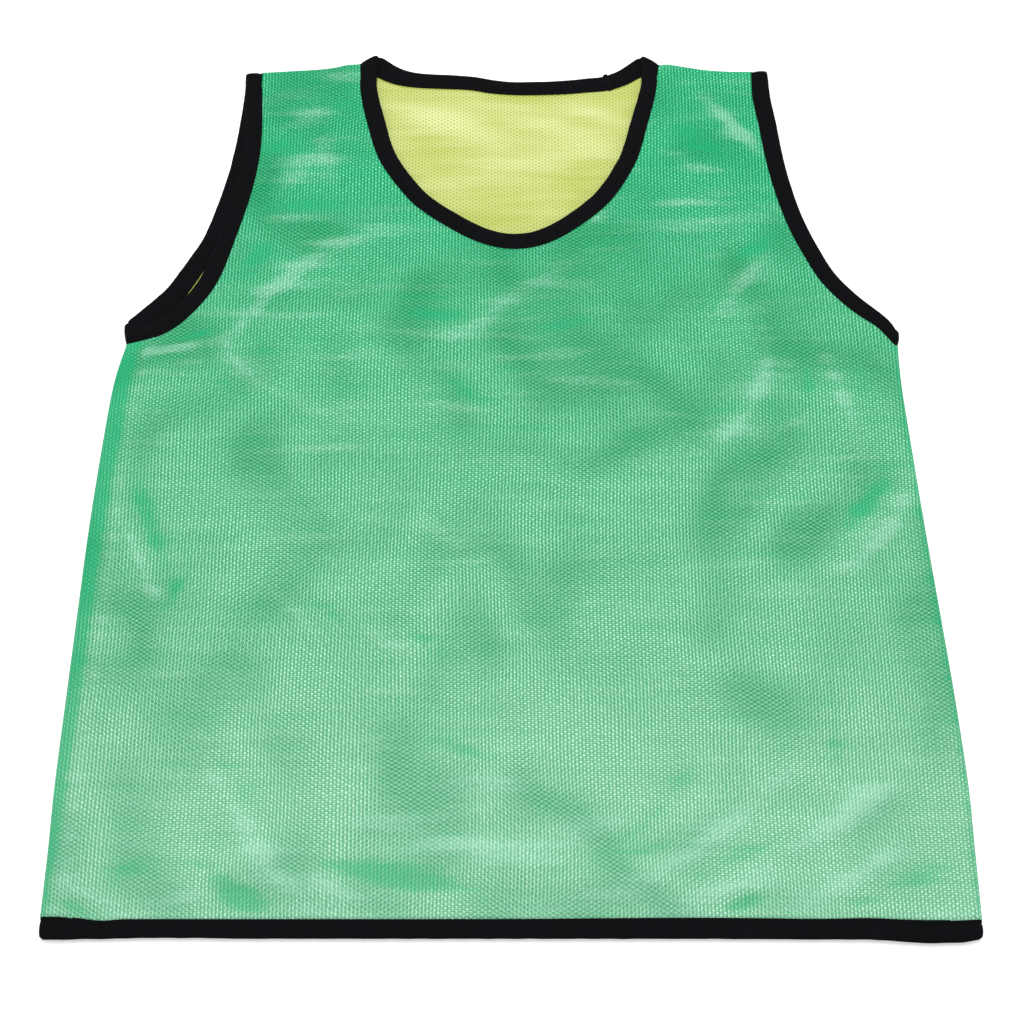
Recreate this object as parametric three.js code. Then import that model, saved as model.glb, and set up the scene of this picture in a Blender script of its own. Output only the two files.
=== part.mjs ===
import * as THREE from "three";

// A reversible training bib laid flat: a sleeveless top of two layers of mesh cloth, green outside and
// yellow inside, its neck, armholes and hem bound with folded black tape. Millimetres, +Z up. The back
// lies on the surface and the front on the back, with the hem towards -Y. The origin is on that surface,
// under the middle of the bib.

// Driving dimensions.
const wall = 1.1; // one layer of cloth
const gap = 0.3; // between layers, and at every seam
const tapeThickness = 2.8; // the folded tape, pressed flat
const tapeWidth = 12.5; // from the tape's sewn line to its fold
const hemTapeWidth = 12;
const tapeRounding = 0.9; // of the tape's own fold
const hemHalfWidth = 299;
const halfLength = 342; // from the origin to the hem's fold, and to the peaks of the neck
const stack = 4 * wall + 3 * gap; // the four layers, lying on each other
const seamPuff = 1.2; // how far a soft fold at a side or shoulder stands above the stack
const turnSteps = 3; // facets in a quarter turn, of the cloth and of the tape

// Where front and back fold over at the sides, and how high the fold puffs above the stack.
const sideFolds = [
  { y: -330, left: -hemHalfWidth, right: hemHalfWidth, leftPuff: seamPuff, rightPuff: seamPuff },
  { y: -285, left: -298.8, right: 298.6, leftPuff: 3.6, rightPuff: 1.5 },
  { y: -240, left: -298.5, right: 298.2, leftPuff: 4.6, rightPuff: 1.8 },
  { y: -180, left: -296.3, right: 294.7, leftPuff: 5, rightPuff: 2.2 },
  { y: -120, left: -294, right: 290, leftPuff: 5, rightPuff: 2.5 },
  { y: -60, left: -291.7, right: 285.2, leftPuff: 4.6, rightPuff: 2.8 },
  { y: 0, left: -288, right: 281, leftPuff: 4.6, rightPuff: 2.2 },
  { y: 55, left: -283.5, right: 277.5, leftPuff: 3.8, rightPuff: 1.6 },
  { y: 89.5, left: -277.1, right: 276.4, leftPuff: seamPuff, rightPuff: seamPuff },
];

// The soft folds of the front that lie away from the sides. Each is a ridge, or a trough where its height
// is negative, with its middle, its direction from +X in degrees, and its size.
const frontFolds = [
  { x: -242, y: 72, turned: 14, long: 70, wide: 22, high: 2.6 },
  { x: -248, y: 20, turned: -82, long: 90, wide: 20, high: 2.2 },
  { x: 248, y: -52, turned: 48, long: 110, wide: 22, high: 3 },
  { x: 215, y: -30, turned: 52, long: 90, wide: 20, high: 2 },
  { x: 157, y: 28, turned: 46, long: 100, wide: 30, high: 2 },
  { x: 215, y: -258, turned: 30, long: 80, wide: 24, high: 2.4 },
  { x: 40, y: -300, turned: -6, long: 140, wide: 24, high: 2.6 },
  { x: -64, y: -292, turned: 11, long: 90, wide: 22, high: 1.8 },
  { x: -180, y: -296, turned: 24, long: 70, wide: 24, high: 2.2 },
  { x: 168, y: 266, turned: -53, long: 70, wide: 22, high: 2.4 },
  { x: -150, y: 250, turned: 70, long: 90, wide: 30, high: 1.8 },
  { x: -30, y: 96, turned: 6, long: 150, wide: 26, high: 1.8 },
  { x: 70, y: 60, turned: -8, long: 130, wide: 30, high: 1.6 },
  { x: -16, y: -228, turned: 4, long: 90, wide: 24, high: 1.8 },
  { x: -120, y: -60, turned: 18, long: 160, wide: 40, high: 1.8 },
];
const frontPuff = 1.6; // how far the middle of the front stands above the stack

// The soft folds of the inside of the back, in the neck opening.
const neckFolds = [
  { x: -54, y: 284, turned: -18, long: 80, wide: 22, high: 1.2 },
  { x: 44, y: 272, turned: -22, long: 90, wide: 24, high: 1 },
];

const degree = Math.PI / 180;
const heading = (angle) => new THREE.Vector2(Math.cos(angle * degree), Math.sin(angle * degree));
const fade = (share) => 1 - THREE.MathUtils.smoothstep(share, 0, 1); // 1 at an edge, 0 from one reach in
const panelRadius = (puff) => (stack + puff - gap) / 2; // outside a quarter turn of cloth

// Straight from row to row of a table, by height along the body.
function along(table, y, column) {
  const last = table.length - 2;
  let row = 0;
  while (row < last && y > table[row + 1].y) row++;
  const share = THREE.MathUtils.clamp((y - table[row].y) / (table[row + 1].y - table[row].y), 0, 1);
  return THREE.MathUtils.lerp(table[row][column], table[row + 1][column], share);
}

const hemLine = sideFolds[0].y;
const underarm = sideFolds[sideFolds.length - 1].y;
const leftPuff = (y) => along(sideFolds, y, "leftPuff");
const rightPuff = (y) => along(sideFolds, y, "rightPuff");
const leftBase = (y) => along(sideFolds, y, "left") + panelRadius(leftPuff(y));
const rightBase = (y) => along(sideFolds, y, "right") - panelRadius(rightPuff(y));

// The corners of the panels, where a bound edge meets a fold. There the tape's width lies along "across",
// and cloth and tape turn under towards "out", both in degrees from +X. The tape is "wide" along the fold,
// which is more than its own width where the fold crosses it at a slant.
const peakSlope = 36;
const peakReach = (tapeWidth - tapeRounding) * Math.sin(peakSlope * degree)
  + (tapeThickness + gap / 2) * Math.cos(peakSlope * degree);
const neckCorner = halfLength - peakReach;
const corners = {
  hemLeft: { x: leftBase(hemLine), y: hemLine, across: -90, out: 180, wide: hemTapeWidth },
  hemRight: { x: rightBase(hemLine), y: hemLine, across: -90, out: 0, wide: hemTapeWidth },
  underarmLeft: { x: leftBase(underarm), y: underarm, across: 99, out: 189, wide: 16 },
  underarmRight: { x: rightBase(underarm), y: underarm, across: 81, out: -9, wide: 12.5 },
  shoulderLeft: { x: -191, y: 324, across: 180, out: 90, wide: tapeWidth },
  shoulderRight: { x: 183.5, y: 324.4, across: 0, out: 90, wide: tapeWidth },
  neckLeft: { x: -114, y: neckCorner, across: peakSlope, out: peakSlope + 90, wide: tapeWidth },
  neckRight: { x: 111.4, y: neckCorner, across: 180 - peakSlope, out: 90 - peakSlope, wide: tapeWidth },
};

// A smooth sewn line through a few points, as evenly spaced stations.
function sewnLine(start, between, end, steps) {
  const through = [start, ...between.map(([x, y]) => ({ x, y })), end];
  const curve = new THREE.SplineCurve(through.map(({ x, y }) => new THREE.Vector2(x, y)));
  return curve.getSpacedPoints(steps);
}

// The stations on a strap, up its armhole and up its side of the neck, and round the bottom of the neck.
const strapRows = 11;
const neckColumns = 6;
const strapColumns = 8;
const shoulderColumns = 4;
const bodyRows = 17;
const backNeckColumns = 12;

const { hemLeft, hemRight, underarmLeft, underarmRight } = corners;
const { neckLeft, neckRight, shoulderLeft, shoulderRight } = corners;

const frontArmholes = {
  left: sewnLine(underarmLeft, [[-252, 97.5], [-231, 115.7], [-214.6, 142.6], [-203, 183.7],
    [-194, 223], [-189.5, 262], [-190.5, 297]], shoulderLeft, strapRows),
  right: sewnLine(underarmRight, [[263, 102.5], [247.5, 115.7], [225, 142.6], [212, 170],
    [201.6, 197.6], [192, 240], [186.5, 283], [183, 308]], shoulderRight, strapRows),
};

// The back's left armhole lies up to a tape's width outside the front's. On the right they lie together.
const backArmholes = {
  left: sewnLine(underarmLeft, [[-261, 106], [-237, 135], [-214.8, 178.5], [-202.5, 223],
    [-195, 265], [-191.4, 300]], shoulderLeft, strapRows),
  right: frontArmholes.right,
};

const leftOfNeck = { x: -50, y: 190.7 };
const rightOfNeck = { x: 51, y: 190.7 };
const frontNeck = {
  left: sewnLine(leftOfNeck, [[-67, 203.5], [-81, 219], [-98.6, 247.2], [-107.6, 276],
    [-113, 305]], neckLeft, strapRows),
  bottom: sewnLine(leftOfNeck, [[-25, 175.8], [1, 169.7], [27, 175]], rightOfNeck, neckColumns),
  right: sewnLine(rightOfNeck, [[65.5, 203.5], [76.5, 219], [92, 247.2], [100.8, 276],
    [109, 305]], neckRight, strapRows),
};
const frontNeckLine = [
  ...[...frontNeck.left].reverse(),
  ...frontNeck.bottom.slice(1, -1),
  ...frontNeck.right,
];

const backNeckLine = sewnLine(neckLeft, [[-102, 323], [-77, 314], [-26, 309.5], [20, 306.3],
  [52, 307.5], [80, 313], [98, 322.5]], neckRight, backNeckColumns);

// How high the outer face of the front lies. It is level with the stack along the tape, rises to the
// fold at each side and shoulder, and has its soft folds between.
function foldsAt(table, x, y) {
  return table.reduce((sum, fold) => {
    const direction = heading(fold.turned);
    const offset = new THREE.Vector2(x - fold.x, y - fold.y);
    const lengthwise = offset.dot(direction) / (fold.long / 2);
    const sideways = offset.cross(direction) / (fold.wide / 2);
    return sum + fold.high * Math.exp(-(lengthwise ** 2) - sideways ** 2);
  }, 0);
}

// How far a point in plan is from the nearest of some lines.
function nearest(lines, x, y) {
  const here = new THREE.Vector3(x, y, 0);
  const foot = new THREE.Vector3();
  const flat = (point) => new THREE.Vector3(point.x, point.y, 0);
  let least = Infinity;
  for (const line of lines) {
    for (let i = 1; i < line.length; i++) {
      new THREE.Line3(flat(line[i - 1]), flat(line[i])).closestPointToPoint(here, true, foot);
      least = Math.min(least, foot.distanceTo(here));
    }
  }
  return least;
}

const sideReach = 34;
const shoulderReach = 24;
const levelReach = 24; // how far from the sewn lines the soft folds reach their height
const shoulderLines = [[shoulderLeft, neckLeft], [shoulderRight, neckRight]];
const levelLines = [
  frontNeckLine, frontArmholes.left, frontArmholes.right,
  [hemLeft, hemRight], ...shoulderLines,
  sideFolds.map(({ y }) => ({ x: leftBase(y), y })),
  sideFolds.map(({ y }) => ({ x: rightBase(y), y })),
];

function frontTop(x, y) {
  const leftShare = Math.max(x - leftBase(y), 0) / sideReach;
  const rightShare = Math.max(rightBase(y) - x, 0) / sideReach;
  const sides = leftPuff(y) * fade(leftShare) + rightPuff(y) * fade(rightShare);
  const shoulder = nearest(shoulderLines, x, y);
  const edge = nearest(levelLines, x, y);
  const inside = 1 - fade(edge / levelReach);
  return stack + sides + seamPuff * fade(shoulder / shoulderReach)
    + inside * (frontPuff + foldsAt(frontFolds, x, y));
}

// A net of points for a panel, patch by patch. A point holds its place in plan, and where the cloth turns
// under it also holds how far it has turned, which way, and the puff of the fold.
class Net {
  constructor() {
    this.points = [];
    this.triangles = [];
    this.known = new Map();
  }

  add(point) {
    const { x, y, turned = 0 } = point;
    const key = [x.toFixed(3), y.toFixed(3), turned].join(" ");
    if (!this.known.has(key)) {
      this.known.set(key, this.points.length);
      this.points.push({ ...point, x, y, turned });
    }
    return this.known.get(key);
  }

  // Rows of points, the next row to the left of this one's direction.
  patch(rows) {
    const numbers = rows.map((row) => row.map((point) => this.add(point)));
    for (let i = 1; i < numbers.length; i++) {
      for (let j = 1; j < numbers[i].length; j++) {
        const [a, b] = [numbers[i - 1][j - 1], numbers[i - 1][j]];
        const [c, d] = [numbers[i][j], numbers[i][j - 1]];
        this.triangles.push([a, b, c], [a, c, d]);
      }
    }
  }

  // The quarter turn along a fold. The edge's points are in the order that has the panel on their left.
  turn(edge) {
    const rows = [];
    for (let step = turnSteps; step >= 0; step--) {
      rows.push(edge.map((point) => ({ ...point, turned: (step * 90) / turnSteps })));
    }
    this.patch(rows);
  }
}

// A patch between four edges, blended from them.
function blend(bottom, top, left, right) {
  const columns = bottom.length - 1;
  const rows = left.length - 1;
  const mix = (a, b, share) => a + (b - a) * share;
  return left.map((_, i) => bottom.map((_, j) => {
    const [s, t] = [j / columns, i / rows];
    const place = (axis) => mix(bottom[j][axis], top[j][axis], t) + mix(left[i][axis], right[i][axis], s)
      - mix(mix(bottom[0][axis], bottom[columns][axis], s), mix(top[0][axis], top[columns][axis], s), t);
    if (i === 0) return bottom[j];
    if (i === rows) return top[j];
    if (j === 0) return left[i];
    if (j === columns) return right[i];
    return { x: place("x"), y: place("y") };
  }));
}

const straight = (from, to, steps) => Array.from({ length: steps + 1 }, (_, i) => ({
  x: THREE.MathUtils.lerp(from.x, to.x, i / steps),
  y: THREE.MathUtils.lerp(from.y, to.y, i / steps),
}));

// From an underarm to the neck: level at first, so that it stays under the armhole, then rising.
const chestLine = (from, to, steps) => straight(from, to, steps).map(({ x }, i) => ({
  x, y: THREE.MathUtils.lerp(from.y, to.y, (i / steps) ** 1.8),
}));

// Up one side of the body, along the line where the cloth starts to turn under.
function sideEdge(base) {
  const rows = straight({ x: 0, y: hemLine }, { x: 0, y: underarm }, bodyRows);
  return rows.map(({ y }) => ({ x: base(y), y }));
}

const leftSide = sideEdge(leftBase);
const rightSide = sideEdge(rightBase);

// The way each fold's points turn under: straight out, but at its ends as the tape does.
function folded(edge, first, last, out, puff) {
  return edge.map((point, i) => {
    let angle = out;
    if (i === 0) angle = first.out;
    if (i === edge.length - 1) angle = last.out;
    return { x: point.x, y: point.y, out: heading(angle), puff: puff(point.y) };
  });
}

const leftFold = folded(leftSide, hemLeft, underarmLeft, 180, leftPuff);
const rightFold = folded(rightSide, hemRight, underarmRight, 0, rightPuff);

function shoulderFolds(columns) {
  return {
    left: folded(straight(shoulderLeft, neckLeft, columns), shoulderLeft, neckLeft, 90, () => seamPuff),
    right: folded(straight(neckRight, shoulderRight, columns), neckRight, shoulderRight, 90, () => seamPuff),
  };
}

const plain = (edge) => edge.map(({ x, y }) => ({ x, y }));

// The points of a straight hem under those of the row that closes the patch above it.
function hemUnder(top) {
  const [first, last] = [top[0].x, top[top.length - 1].x];
  return top.map(({ x }) => ({
    x: THREE.MathUtils.mapLinear(x, first, last, hemLeft.x, hemRight.x), y: hemLine,
  }));
}

function turnUnder(net, shoulders) {
  net.turn([...leftFold].reverse());
  net.turn(rightFold);
  net.turn([...shoulders.left].reverse());
  net.turn([...shoulders.right].reverse());
}

// The front has a body that reaches the bottom of the neck, and two straps.
function frontNet() {
  const net = new Net();
  const { left, bottom, right } = frontNeck;
  const leftChest = chestLine(underarmLeft, left[0], strapColumns);
  const rightChest = chestLine(underarmRight, right[0], strapColumns).reverse();
  const chest = [...leftChest, ...plain(bottom).slice(1, -1), ...rightChest];
  const shoulders = shoulderFolds(strapColumns);
  net.patch(blend(hemUnder(chest), chest, leftSide, rightSide));
  net.patch(blend(leftChest, plain(shoulders.left), plain(frontArmholes.left), plain(left)));
  net.patch(blend(rightChest, plain(shoulders.right), plain(right), plain(frontArmholes.right)));
  turnUnder(net, shoulders);
  return net;
}

// The back has a body up to the underarms, and above it a yoke up to the shoulders and the shallow neck.
function backNet() {
  const net = new Net();
  const shoulders = shoulderFolds(shoulderColumns);
  const top = [...plain(shoulders.left), ...plain(backNeckLine).slice(1, -1), ...plain(shoulders.right)];
  const chest = straight(underarmLeft, underarmRight, top.length - 1);
  net.patch(blend(hemUnder(chest), chest, leftSide, rightSide));
  net.patch(blend(chest, top, plain(backArmholes.left), plain(backArmholes.right)));
  turnUnder(net, shoulders);
  return net;
}

// Where a point of a net lies, at a depth below the panel's outer face. The front's outer face is up and
// the back's is down, and at a fold they turn towards each other and end half a gap from mid-height.
const frontPlace = (point, depth) => {
  if (!point.turned) return [point.x, point.y, frontTop(point.x, point.y) - depth];
  const radius = panelRadius(point.puff);
  const reach = (radius - depth) * Math.sin(point.turned * degree);
  const rise = (radius - depth) * Math.cos(point.turned * degree);
  return [point.x + point.out.x * reach, point.y + point.out.y * reach, radius + gap + rise];
};

function backPlace(point, depth) {
  if (!point.turned) return [point.x, point.y, depth];
  const radius = panelRadius(point.puff);
  const reach = (radius - depth) * Math.sin(point.turned * degree);
  const rise = (radius - depth) * Math.cos(point.turned * degree);
  return [point.x + point.out.x * reach, point.y + point.out.y * reach, radius - rise];
}

// The inside of the back lies on its outside, and stands up a little where the neck shows it.
const neckEdges = [frontNeckLine, backNeckLine];
function backInsidePlace(point, depth) {
  const [x, y, z] = backPlace(point, depth);
  const shown = y > 185 && Math.abs(x) < 90 && !point.turned;
  if (!shown) return [x, y, z];
  const edge = nearest(neckEdges, x, y);
  return [x, y, z + foldsAt(neckFolds, x, y) * (1 - fade((edge - tapeWidth) / levelReach))];
}

// Six times the volume inside a closed mesh, which is negative where its faces point in.
function volume(positions, triangles) {
  const corner = (number) => new THREE.Vector3().fromArray(positions, number * 3);
  return triangles.reduce((sum, [a, b, c]) => sum + corner(a).dot(corner(b).cross(corner(c))), 0);
}

function closedGeometry(positions, triangles) {
  const outward = volume(positions, triangles) > 0;
  const index = triangles.flatMap(([a, b, c]) => (outward ? [a, b, c] : [a, c, b]));
  const geometry = new THREE.BufferGeometry();
  geometry.setAttribute("position", new THREE.Float32BufferAttribute(positions, 3));
  geometry.setIndex(index);
  geometry.computeVertexNormals();
  return geometry;
}

// A wall of cloth over a net: its outer face, its inner face, and the edge between them all round.
function clothWall(net, place, depth) {
  const count = net.points.length;
  const outer = net.points.flatMap((point) => place(point, depth));
  const inner = net.points.flatMap((point) => place(point, depth + wall));
  const sides = new Set(net.triangles.flatMap(([a, b, c]) => [`${a} ${b}`, `${b} ${c}`, `${c} ${a}`]));
  const triangles = net.triangles.flatMap(([a, b, c]) => [[a, b, c], [a + count, c + count, b + count]]);
  for (const side of sides) {
    const [a, b] = side.split(" ").map(Number);
    if (!sides.has(`${b} ${a}`)) triangles.push([b, a, a + count], [b, a + count, b + count]);
  }
  return closedGeometry([...outer, ...inner], triangles);
}

// A station of a tape at a corner, turned so many degrees round the fold.
function cornerStation({ x, y, across, out, wide }, turned) {
  return { x, y, across: heading(across), out: heading(out), turned, wide };
}

// Stations of a tape along a sewn line. Between the line's ends the tape lies square to the line.
function tapeRun(line, { first, last, side, widths }, turned) {
  const end = line.length - 1;
  return line.map(({ x, y }, i) => {
    if (i === 0) return cornerStation(first, turned);
    if (i === end) return cornerStation(last, turned);
    const run = new THREE.Vector2().subVectors(line[i + 1], line[i - 1]).normalize();
    const across = new THREE.Vector2(-run.y, run.x).multiplyScalar(side);
    return { x, y, across, out: across, turned, wide: THREE.MathUtils.lerp(widths[0], widths[1], i / end) };
  });
}

// The half turn of a tape round a fold, at a corner.
function tapeTurn(corner) {
  const stations = [];
  for (let step = 1; step < 2 * turnSteps; step++) {
    stations.push(cornerStation(corner, (step * 90) / turnSteps));
  }
  return stations;
}

// A ring of folded tape: along the front's edge, round the fold, back along the back's edge, and round
// the other fold. Its section is square at the sewn line and rounded at the tape's own fold.
function tapeRing(ring) {
  const half = tapeThickness / 2;
  const turnRadius = (tapeThickness + gap) / 2; // of the tape's middle
  const height = tapeThickness + gap / 2;
  const stations = [
    ...tapeRun(ring.front, ring, 0),
    ...tapeTurn(ring.last),
    ...tapeRun(ring.back, ring, 180).reverse(),
    ...tapeTurn(ring.first).reverse(),
  ];
  const section = (wide) => [
    [gap, -half], [gap, half], [wide - tapeRounding, half],
    [wide, half / 3], [wide, -half / 3], [wide - tapeRounding, -half],
  ];
  const place = ({ x, y, across, out, turned }, sideways, thick) => {
    const reach = (turnRadius + thick) * Math.sin(turned * degree);
    const rise = (turnRadius + thick) * Math.cos(turned * degree);
    return [x + across.x * sideways + out.x * reach, y + across.y * sideways + out.y * reach, height + rise];
  };
  const positions = stations.flatMap((station) => (
    section(station.wide).flatMap(([sideways, thick]) => place(station, sideways, thick))
  ));
  const points = section(tapeWidth).length;
  const number = (i, j) => (i % stations.length) * points + (j % points);
  const triangles = [];
  for (let i = 0; i < stations.length; i++) {
    for (let j = 0; j < points; j++) {
      const [a, b, c, d] = [number(i, j), number(i + 1, j), number(i + 1, j + 1), number(i, j + 1)];
      triangles.push([a, b, c], [a, c, d]);
    }
  }
  return closedGeometry(positions, triangles);
}

const green = () => new THREE.MeshStandardMaterial({ color: 0x5cc48f, roughness: 0.6, metalness: 0 });
const yellow = () => new THREE.MeshStandardMaterial({ color: 0xd9e36f, roughness: 0.65, metalness: 0 });
const black = () => new THREE.MeshStandardMaterial({ color: 0x17181b, roughness: 0.9, metalness: 0 });

const bib = new THREE.Group();
function add(name, geometry, material) {
  const mesh = new THREE.Mesh(geometry, material);
  mesh.name = name;
  bib.add(mesh);
}

const front = frontNet();
const back = backNet();
add("front_outer", clothWall(front, frontPlace, 0), green());
add("front_lining", clothWall(front, frontPlace, wall + gap), yellow());
add("back_outer", clothWall(back, backPlace, 0), green());
add("back_lining", clothWall(back, backInsidePlace, wall + gap), yellow());

const hem = straight(hemLeft, hemRight, 4);
const rings = {
  neck_binding: {
    front: frontNeckLine, back: backNeckLine,
    first: neckLeft, last: neckRight, side: 1, widths: [tapeWidth, tapeWidth],
  },
  left_armhole_binding: {
    front: frontArmholes.left, back: backArmholes.left,
    first: underarmLeft, last: shoulderLeft, side: 1, widths: [tapeWidth, tapeWidth],
  },
  right_armhole_binding: {
    front: frontArmholes.right, back: backArmholes.right,
    first: underarmRight, last: shoulderRight, side: -1, widths: [10, tapeWidth],
  },
  hem_binding: {
    front: hem, back: hem,
    first: hemLeft, last: hemRight, side: -1, widths: [hemTapeWidth, hemTapeWidth],
  },
};
for (const [name, ring] of Object.entries(rings)) add(name, tapeRing(ring), black());

export default bib;
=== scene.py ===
import math
import random

import bpy
import numpy as np
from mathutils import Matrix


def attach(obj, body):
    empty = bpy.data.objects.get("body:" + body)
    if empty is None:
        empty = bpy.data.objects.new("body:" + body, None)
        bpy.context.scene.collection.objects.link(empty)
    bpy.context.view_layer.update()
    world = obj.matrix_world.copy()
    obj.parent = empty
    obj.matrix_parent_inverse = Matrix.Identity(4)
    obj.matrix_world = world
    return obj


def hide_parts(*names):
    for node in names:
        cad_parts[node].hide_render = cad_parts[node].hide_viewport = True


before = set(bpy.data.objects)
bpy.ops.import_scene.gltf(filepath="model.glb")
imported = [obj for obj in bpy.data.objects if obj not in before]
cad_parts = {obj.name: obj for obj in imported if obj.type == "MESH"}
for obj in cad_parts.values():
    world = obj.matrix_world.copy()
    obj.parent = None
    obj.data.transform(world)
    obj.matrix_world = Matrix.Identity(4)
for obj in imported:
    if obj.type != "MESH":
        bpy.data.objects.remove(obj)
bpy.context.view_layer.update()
mm = 0.001  # the settings are in millimetres and the meshes in metres

# The bib lies with its hem towards -Y. All pieces share this form.
form = {
    "hemLine": -330,  # where the panels are sewn to the hem tape
    "underarm": 89.5,  # where the armholes start
    "stack": 5.3,  # the four layers, lying on each other
    "gap": 0.3,  # between front and back, where they meet at a fold
    "seamPuff": 1.2,  # how far the fold at a shoulder stands above the stack
    "frontPuff": 1.6,  # how far the middle of the front stands above the stack
    "creaseDepth": 0.75,  # of the heights in the table of creases
    "cloth": 0.6,  # one layer of mesh
    "liningDepth": 1.0,  # from a panel's outer face to its lining's
    "backAir": 0.4,  # more between the back's two layers than between the front's
    "tapeThickness": 2.8,
    "tapeWidth": 12.5,
    "hemTapeWidth": 12,
    "tapeRounding": 0.9,
    "peak": 342,  # from the origin to the peaks of the neck
    "peakSlope": 36,
}

# Where front and back fold over at the sides, and how high the fold puffs.
sideFolds = [
    # y, left, right, leftPuff, rightPuff
    (-330, -300.3, 299, 1.2, 1.2),
    (-285, -299, 298.6, 3.6, 1.5),
    (-240, -298.5, 298.2, 4.6, 1.8),
    (-180, -296.3, 294.7, 5, 2.2),
    (-120, -294, 290, 5, 2.5),
    (-60, -291.7, 285.2, 4.6, 2.8),
    (0, -288, 281, 4.6, 2.2),
    (55, -283.5, 277.5, 3.8, 1.6),
    (89.5, -277.1, 277.2, 1.2, 1.2),
]


def heading(degrees):
    return np.array([math.cos(math.radians(degrees)), math.sin(math.radians(degrees))])


def fade(share):  # 1 at an edge, 0 from one reach in
    share = np.clip(share, 0, 1)
    return 1 - share * share * (3 - 2 * share)


def curveThrough(points, steps):  # evenly spaced points on a smooth curve
    points = np.array(points, float)
    padded = np.vstack([points[:1], points, points[-1:]])
    perStretch = 30  # fine points from one given point to the next
    t = np.linspace(0, 1, perStretch, endpoint=False)[:, None]
    stretches = []
    for before, start, end, after in zip(padded, padded[1:], padded[2:], padded[3:]):
        leave, arrive = (end - before) / 2, (after - start) / 2
        stretches.append(
            (2 * t**3 - 3 * t**2 + 1) * start + (t**3 - 2 * t**2 + t) * leave
            + (3 * t**2 - 2 * t**3) * end + (t**3 - t**2) * arrive
        )
    fine = np.vstack(stretches + [points[-1:]])
    along = np.append(0, np.cumsum(np.linalg.norm(np.diff(fine, axis=0), axis=1)))
    even = np.linspace(0, along[-1], steps + 1)
    return np.column_stack([np.interp(even, along, column) for column in fine.T])


sideTable = curveThrough(sideFolds, 120).T


def foldRadius(puff):
    return (form["stack"] + puff - form["gap"]) / 2


def leftPuff(y):
    return np.interp(y, sideTable[0], sideTable[3])


def rightPuff(y):
    return np.interp(y, sideTable[0], sideTable[4])


def seamPuff(y):  # at the shoulders
    return np.full_like(y, form["seamPuff"])


def leftBase(y):
    return np.interp(y, sideTable[0], sideTable[1]) + foldRadius(leftPuff(y))


def rightBase(y):
    return np.interp(y, sideTable[0], sideTable[2]) - foldRadius(rightPuff(y))


# The corners, where a bound edge meets a fold: the way the tape's width lies, and the way it turns under.
tapeMiddle = form["tapeThickness"] + form["gap"] / 2  # the height between a tape's two runs
slopeAcross, slopeUp = heading(form["peakSlope"])
peakReach = (form["tapeWidth"] - form["tapeRounding"]) * slopeUp + tapeMiddle * slopeAcross
neckCorner = form["peak"] - peakReach
hemLine, underarm = form["hemLine"], form["underarm"]
# The photo shows the corners a little off these lines.
leftHem, rightHem = hemLine + 1.9, hemLine + 0.2
leftUnderarm, rightUnderarm = underarm - 0.8, underarm - 1.8
corners = {
    # x, y, across, out, wide
    "hemLeft": (leftBase(leftHem), leftHem, -90, 180, 14.2),
    "hemRight": (rightBase(rightHem), rightHem, -90, 0, 12.4),
    "underarmLeft": (leftBase(leftUnderarm), leftUnderarm, 101, 189, 18),
    "underarmRight": (rightBase(rightUnderarm), rightUnderarm, 79, -9, 13.4),
    "shoulderLeft": (-190.6, 324.3, 180, 90, 13),
    "shoulderRight": (182.7, 325.4, 6, 90, 12.8),
    "neckLeft": (-116.3, neckCorner, 36, 126, 16),
    "neckRight": (112.3, neckCorner - 0.8, 144, 54, 15.9),
}


def corner(name):
    return np.array(corners[name][:2], float)


# The sewn lines, from corner to corner. Each is its corners and the points between them.
sewnLines = {
    "hem": ("hemLeft", [
        (-288, -328), (-279, -328.9), (-272, -329.9), (-266, -330.9), (-259, -331.2), (-252, -330.8),
        (-243, -330.2), (-150, -330.2), (-80, -330.2), (0, -330.1), (60, -329.6), (120, -329.3),
        (165, -329.7), (196, -330), (227, -329.5), (248, -330.4), (265, -330.8), (284, -330.3),
    ], "hemRight"),
    "frontArmholeLeft": ("underarmLeft", [
        (-263, 92), (-252, 96.7), (-241.8, 104.4), (-230.2, 117), (-220, 131.4), (-213.2, 145.8),
        (-204, 178.5), (-194.7, 216.8), (-190, 250), (-189.3, 276), (-190.6, 303),
    ], "shoulderLeft"),
    "backArmholeLeft": ("underarmLeft", [
        (-262, 103), (-241.3, 126.2), (-230.4, 144.6), (-222.6, 159.8), (-213, 180), (-201.7, 222.8),
        (-194.4, 265), (-191.2, 300),
    ], "shoulderLeft"),
    "armholeRight": ("underarmRight", [
        (263, 102.2), (247.5, 115.7), (225, 142.6), (212, 170), (201.6, 197.6), (192, 240), (186.5, 283),
        (183, 308),
    ], "shoulderRight"),
    "backNeck": ("neckLeft", [
        (-105, 326.9), (-98, 322.5), (-83, 317.4), (-62, 315.3), (-34, 313.9), (-16, 310.7), (6, 309),
        (37, 309.7), (54, 311.2), (69, 312.9), (77, 313.8), (84, 317), (91, 320.9), (99, 325.9),
    ], "neckRight"),
    "leftShoulder": ("shoulderLeft", [
        (-165, 326.1), (-148, 327.3), (-135, 329.2), (-127, 331.4),
    ], "neckLeft"),
    "rightShoulder": ("neckRight", [
        (119, 332.2), (134, 329.3), (150, 326.6), (167, 325.4),
    ], "shoulderRight"),
}
leftOfNeck, rightOfNeck = (-50, 190.7), (51, 190.7)
neckSides = {
    "left": [
        leftOfNeck, (-67, 203.5), (-81, 219), (-98.6, 247.2), (-107.6, 276), (-114, 305), corner("neckLeft"),
    ],
    "bottom": [leftOfNeck, (-25, 175.8), (1, 169.7), (27, 175), rightOfNeck],
    "right": [
        rightOfNeck, (65.5, 203.5), (78, 219), (92.8, 247.2), (100.8, 276), (108, 305), corner("neckRight"),
    ],
}


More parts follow.
